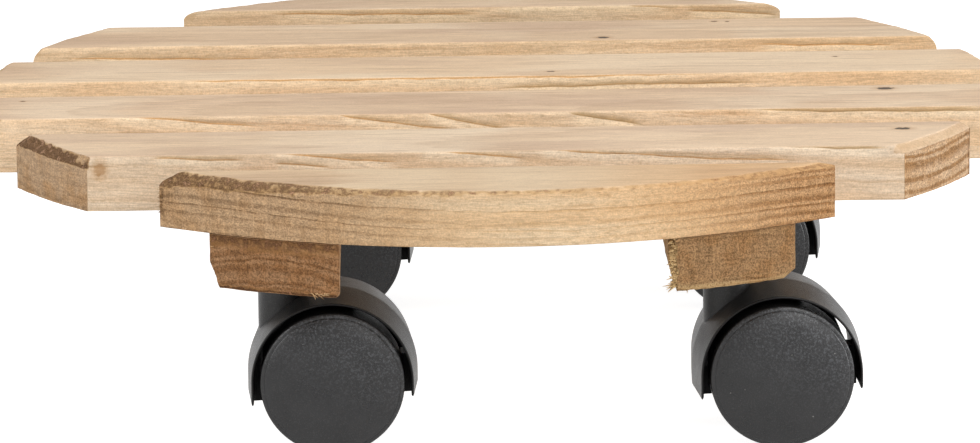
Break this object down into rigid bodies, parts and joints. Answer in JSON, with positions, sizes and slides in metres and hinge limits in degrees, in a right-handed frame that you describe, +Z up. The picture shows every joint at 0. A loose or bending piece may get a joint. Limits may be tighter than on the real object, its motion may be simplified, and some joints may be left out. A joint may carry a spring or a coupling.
{
  "type": "plant caddy",
  "caption": "Round slatted wooden plant stand on two battens, rolling on hooded twin-wheel swivel casters.",
  "frame": {"origin": "floor level, under the middle of the round deck", "axes": "+Z up; +X to the right along the slats; +Y away from the front, along the battens"},
  "size_m": [0.2966, 0.297, 0.0845],
  "materials": {
    "slat_wood": "smooth sawn tops, rough sawn sides, unvarnished",
    "batten_wood": "rough sawn, unvarnished",
    "hood_plastic": "satin black moulding",
    "wheel_plastic": "satin black moulding, lightly dusty",
    "zinc_steel": "zinc plated",
    "spring_steel": "oiled dark"
  },
  "bodies": {
    "deck": {"slat_1": "slat_wood", "slat_2": "slat_wood", "slat_3": "slat_wood", "slat_4": "slat_wood", "slat_5": "slat_wood", "slat_6": "slat_wood", "left_batten": "batten_wood", "right_batten": "batten_wood", "slat_screws": "zinc_steel", "plate_screws": "zinc_steel", "front_left_plate": "zinc_steel", "front_left_kingpin": "zinc_steel", "front_left_grip_ring": "spring_steel", "front_right_plate": "zinc_steel", "front_right_kingpin": "zinc_steel", "front_right_grip_ring": "spring_steel", "rear_left_plate": "zinc_steel", "rear_left_kingpin": "zinc_steel", "rear_left_grip_ring": "spring_steel", "rear_right_plate": "zinc_steel", "rear_right_kingpin": "zinc_steel", "rear_right_grip_ring": "spring_steel"},
    "front_left_caster": {"front_left_hood": "hood_plastic", "front_left_axle": "zinc_steel"},
    "front_left_front_wheel": {"front_left_wheel_front": "wheel_plastic"},
    "front_left_back_wheel": {"front_left_wheel_back": "wheel_plastic"},
    "front_right_caster": {"front_right_hood": "hood_plastic", "front_right_axle": "zinc_steel"},
    "front_right_front_wheel": {"front_right_wheel_front": "wheel_plastic"},
    "front_right_back_wheel": {"front_right_wheel_back": "wheel_plastic"},
    "rear_left_caster": {"rear_left_hood": "hood_plastic", "rear_left_axle": "zinc_steel"},
    "rear_left_front_wheel": {"rear_left_wheel_front": "wheel_plastic"},
    "rear_left_back_wheel": {"rear_left_wheel_back": "wheel_plastic"},
    "rear_right_caster": {"rear_right_hood": "hood_plastic", "rear_right_axle": "zinc_steel"},
    "rear_right_front_wheel": {"rear_right_wheel_front": "wheel_plastic"},
    "rear_right_back_wheel": {"rear_right_wheel_back": "wheel_plastic"}
  },
  "joints": [
    {"name": "front_left_swivel", "type": "hinge", "parent": "deck", "child": "front_left_caster", "pos_m": [-0.0599, -0.08173, 0.0504], "axis": [0, 0, 1], "continuous": true},
    {"name": "front_left_front_roll", "type": "hinge", "parent": "front_left_caster", "child": "front_left_front_wheel", "pos_m": [-0.0459, -0.08173, 0.02], "axis": [0, 1, 0], "continuous": true},
    {"name": "front_left_back_roll", "type": "hinge", "parent": "front_left_caster", "child": "front_left_back_wheel", "pos_m": [-0.0459, -0.08173, 0.02], "axis": [0, 1, 0], "continuous": true},
    {"name": "front_right_swivel", "type": "hinge", "parent": "deck", "child": "front_right_caster", "pos_m": [0.0641, -0.08173, 0.0504], "axis": [0, 0, 1], "continuous": true},
    {"name": "front_right_front_roll", "type": "hinge", "parent": "front_right_caster", "child": "front_right_front_wheel", "pos_m": [0.07809, -0.08124, 0.02], "axis": [-0.0349, 0.9994, 0], "continuous": true},
    {"name": "front_right_back_roll", "type": "hinge", "parent": "front_right_caster", "child": "front_right_back_wheel", "pos_m": [0.07809, -0.08124, 0.02], "axis": [-0.0349, 0.9994, 0], "continuous": true},
    {"name": "rear_left_swivel", "type": "hinge", "parent": "deck", "child": "rear_left_caster", "pos_m": [-0.0599, 0.08173, 0.0504], "axis": [0, 0, 1], "continuous": true},
    {"name": "rear_left_front_roll", "type": "hinge", "parent": "rear_left_caster", "child": "rear_left_front_wheel", "pos_m": [-0.0459, 0.08173, 0.02], "axis": [0, 1, 0], "continuous": true},
    {"name": "rear_left_back_roll", "type": "hinge", "parent": "rear_left_caster", "child": "rear_left_back_wheel", "pos_m": [-0.0459, 0.08173, 0.02], "axis": [0, 1, 0], "continuous": true},
    {"name": "rear_right_swivel", "type": "hinge", "parent": "deck", "child": "rear_right_caster", "pos_m": [0.0641, 0.08173, 0.0504], "axis": [0, 0, 1], "continuous": true},
    {"name": "rear_right_front_roll", "type": "hinge", "parent": "rear_right_caster", "child": "rear_right_front_wheel", "pos_m": [0.07809, 0.08112, 0.02], "axis": [0.0436, 0.999, 0], "continuous": true},
    {"name": "rear_right_back_roll", "type": "hinge", "parent": "rear_right_caster", "child": "rear_right_back_wheel", "pos_m": [0.07809, 0.08112, 0.02], "axis": [0.0436, 0.999, 0], "continuous": true}
  ]
}
